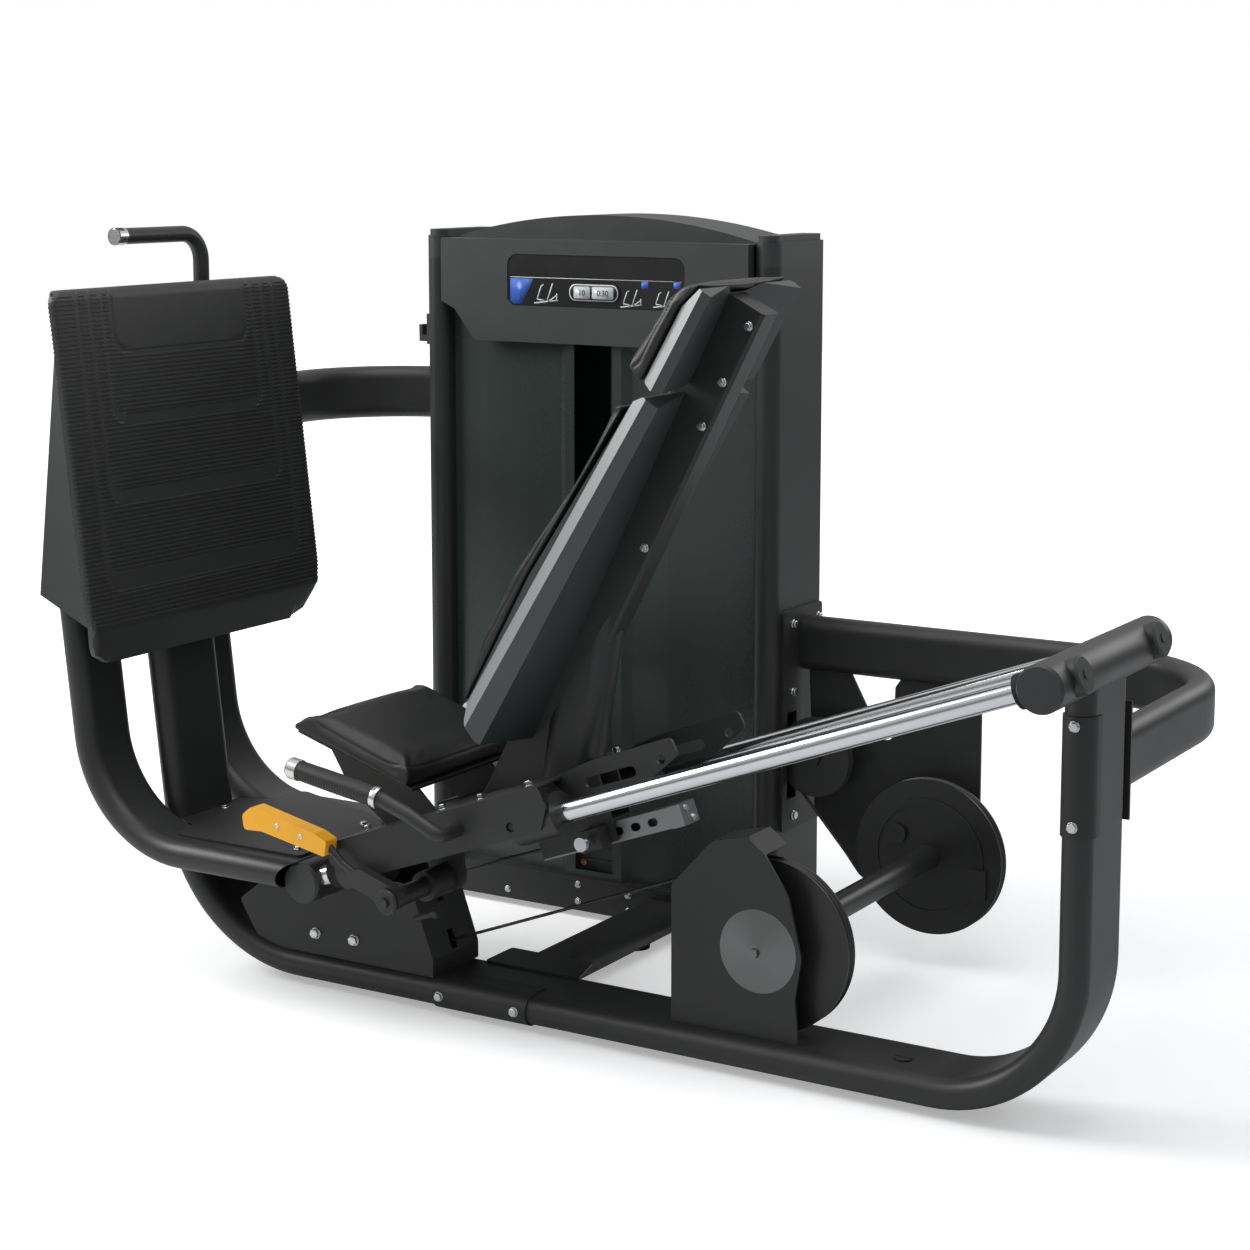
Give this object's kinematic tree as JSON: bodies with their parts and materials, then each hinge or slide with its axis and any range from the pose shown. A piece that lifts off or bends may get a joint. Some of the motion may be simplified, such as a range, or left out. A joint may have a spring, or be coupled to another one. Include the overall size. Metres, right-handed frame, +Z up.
{
  "type": "leg press machine",
  "caption": "Seated leg press: padded seat and reclined back slide up two sloping rods away from a fixed ribbed footplate, lifting a shrouded weight stack by cable.",
  "frame": {"origin": "centre of the bounding box, on the floor", "axes": "+X from the footplate to the rear post, +Y from the press to the weight tower, +Z up"},
  "size_m": [2.1226, 1.146, 1.4749],
  "materials": {
    "frame_paint": "satin black powder coat",
    "plate_paint": "satin black powder coat on plate",
    "rod_chrome": "polished",
    "shroud_green": "semi-gloss dark green grey",
    "cover_plastic": "fine texture",
    "shell_plastic": "satin dark green grey",
    "vinyl": "black vinyl upholstery",
    "rubber_black": "matte",
    "bolt_chrome": "bright",
    "stack_iron": "satin dark grey",
    "wheel_black": "satin",
    "grip_rubber": "ribbed soft grip",
    "lever_yellow": "satin yellow",
    "rack_steel": "satin grey",
    "cable_black": "nylon coated",
    "label": "printed label film",
    "tread": "ribbed tread",
    "steel_satin": "satin"
  },
  "bodies": {
    "frame": {"front_skid": "frame_paint", "rear_skid": "frame_paint", "splice_plates": "plate_paint", "rubber_buffers": "rubber_black", "front_cross_tube": "frame_paint", "rear_cross_tube": "frame_paint", "tube_caps": "cover_plastic", "guide_rods": "rod_chrome", "foot_arms": "frame_paint", "footplate_housing": "cover_plastic", "footplate_face": "tread", "footplate_handle": "frame_paint", "deck_plate": "plate_paint", "gusset_box": "plate_paint", "cross_beam": "frame_paint", "tower_base": "frame_paint", "left_column": "frame_paint", "right_column": "frame_paint", "tower_caps": "cover_plastic", "console_housing": "cover_plastic", "placard": "label", "front_shroud": "shroud_green", "rear_shroud": "shroud_green", "towel_hook": "cover_plastic", "stack_guide_rods": "steel_satin", "weight_stack_rest": "stack_iron", "upper_side_rail": "frame_paint", "rear_side_rail": "frame_paint", "side_brackets": "plate_paint", "near_pulley_bracket": "plate_paint", "frame_bolts": "bolt_chrome", "drive_cable": "cable_black", "stack_cable": "cable_black", "stack_cable_drop": "cable_black"},
    "carriage": {"carriage_plates": "plate_paint", "bearing_housings": "frame_paint", "rack_channel": "plate_paint", "rack_bar": "rack_steel", "seat_pan": "plate_paint", "seat_pad": "vinyl", "back_upright": "frame_paint", "back_shell": "shell_plastic", "back_pad": "vinyl", "head_shell": "shell_plastic", "head_pad": "vinyl", "seat_handles": "frame_paint", "handle_grips": "grip_rubber", "carriage_bolts": "bolt_chrome"},
    "lever": {"lever_shaft": "frame_paint", "lever_grip": "lever_yellow"},
    "lock_pin": {"lock_pin": "steel_satin"},
    "drive": {"drive_shaft": "frame_paint", "near_pulley": "wheel_black", "far_pulley": "wheel_black"},
    "nose_pulley": {"nose_pulley": "wheel_black"},
    "small_pulley": {"small_pulley": "wheel_black"},
    "top_pulley_left": {"top_pulley_left": "wheel_black"},
    "top_pulley_right": {"top_pulley_right": "wheel_black"},
    "stack": {"weight_stack_lifted": "stack_iron"},
    "selector_pin": {"selector_pin": "cover_plastic"}
  },
  "joints": [
    {"name": "carriage_slide", "type": "slide", "parent": "frame", "child": "carriage", "axis": [0.9393, 0, 0.343], "range_m": [0, 0.6]},
    {"name": "lever_turn", "type": "hinge", "parent": "carriage", "child": "lever", "pos_m": [-0.238, -0.47, 0.265], "axis": [0, 1, 0], "range_deg": [0, 20]},
    {"name": "lock_pull", "type": "slide", "parent": "carriage", "child": "lock_pin", "axis": [0, -1, 0], "range_m": [0, 0.0125]},
    {"name": "shaft_turn", "type": "hinge", "parent": "frame", "child": "drive", "pos_m": [0.412, -0.225, 0.225], "axis": [0, -1, 0], "range_deg": [0, 228]},
    {"name": "nose_pulley_turn", "type": "hinge", "parent": "frame", "child": "nose_pulley", "pos_m": [-0.365, -0.225, 0.152], "axis": [0, 1, 0], "range_deg": [0, 556]},
    {"name": "small_pulley_turn", "type": "hinge", "parent": "frame", "child": "small_pulley", "pos_m": [0.1554, 0.44, 0.393], "axis": [0, -1, 0], "range_deg": [0, 472]},
    {"name": "top_left_turn", "type": "hinge", "parent": "frame", "child": "top_pulley_left", "pos_m": [-0.2741, 0.44, 1.305], "axis": [0, 1, 0], "range_deg": [0, 650]},
    {"name": "top_right_turn", "type": "hinge", "parent": "frame", "child": "top_pulley_right", "pos_m": [0.0286, 0.44, 1.305], "axis": [0, 1, 0], "range_deg": [0, 650]},
    {"name": "stack_lift", "type": "slide", "parent": "frame", "child": "stack", "axis": [0, 0, 1], "range_m": [0, 0.601], "deforming": ["stack_cable_drop"]},
    {"name": "selector_pull", "type": "slide", "parent": "stack", "child": "selector_pin", "axis": [0, -1, 0], "range_m": [0, 0.11]}
  ],
  "couplings": [
    {"joint": "shaft_turn", "follows": "carriage_slide", "rad_per_m": 6.605},
    {"joint": "nose_pulley_turn", "follows": "carriage_slide", "rad_per_m": 16.026},
    {"joint": "small_pulley_turn", "follows": "carriage_slide", "rad_per_m": 13.624},
    {"joint": "top_left_turn", "follows": "carriage_slide", "rad_per_m": 18.727},
    {"joint": "top_right_turn", "follows": "carriage_slide", "rad_per_m": 18.727},
    {"joint": "stack_lift", "follows": "carriage_slide", "ratio": 1},
    {"joint": "lock_pull", "follows": "lever_turn", "m_per_rad": 0.035}
  ]
}
